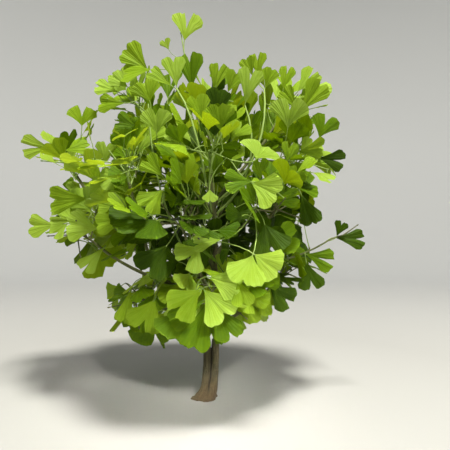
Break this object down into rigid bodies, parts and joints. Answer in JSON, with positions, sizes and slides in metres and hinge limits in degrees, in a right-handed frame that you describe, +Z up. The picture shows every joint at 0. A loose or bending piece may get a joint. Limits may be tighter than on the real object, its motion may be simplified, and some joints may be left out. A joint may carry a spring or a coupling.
{
  "type": "young ginkgo tree",
  "caption": "Young twin-stemmed ginkgo tree rooted in the ground, with a flared foot, rising boughs and a full crown of fan-shaped leaves on long stalks.",
  "frame": {"origin": "middle of the flat cut under the trunk, at ground level", "axes": "+Z up along the trunk, +X to the right and -Y towards the viewer as the tree is pictured, so the left bough leans towards -X"},
  "size_m": [0.5793, 0.4563, 0.6543],
  "materials": {
    "bark": "greyish brown bark, dull, with fine lengthwise ridges",
    "young_bark": "smooth green-brown bark of this year's shoots",
    "upper_foliage": "fresh yellow-green leaves with fine ribs, satin",
    "lower_foliage": "mid-green leaves with fine ribs, satin"
  },
  "bodies": {
    "root": {"trunk": "bark", "stem_left": "bark", "leader": "bark", "bough_left": "bark", "bough_left_up": "bark", "bough_left_side": "bark", "bough_left_low": "bark", "bough_left_back": "bark", "bough_front_low": "bark", "bough_back_low": "bark", "bough_right_low": "bark", "bough_right_back": "bark", "bough_front": "bark", "bough_right": "bark", "bough_back": "bark", "bough_heart": "bark", "bough_left_top_back": "bark", "bough_right_up": "bark", "bough_front_up": "bark", "bough_back_up": "bark", "bough_left_top": "bark", "bough_right_top": "bark", "bough_spire": "young_bark", "bough_right_tip": "young_bark", "foliage_left_low": "lower_foliage", "foliage_front_low": "lower_foliage", "foliage_back_low": "lower_foliage", "foliage_right_low": "lower_foliage", "foliage_left_side": "lower_foliage", "foliage_left_back": "lower_foliage", "foliage_front": "lower_foliage", "foliage_right": "upper_foliage", "foliage_right_back": "upper_foliage", "foliage_back": "upper_foliage", "foliage_heart": "upper_foliage", "foliage_left_outer": "upper_foliage", "foliage_left_inner": "upper_foliage", "foliage_front_up": "upper_foliage", "foliage_right_up": "upper_foliage", "foliage_back_up": "upper_foliage", "foliage_left_top_back": "upper_foliage", "foliage_left_top": "upper_foliage", "foliage_crown": "upper_foliage", "foliage_right_top": "upper_foliage", "foliage_spire": "upper_foliage", "foliage_right_tip": "lower_foliage"}
  },
  "joints": []
}
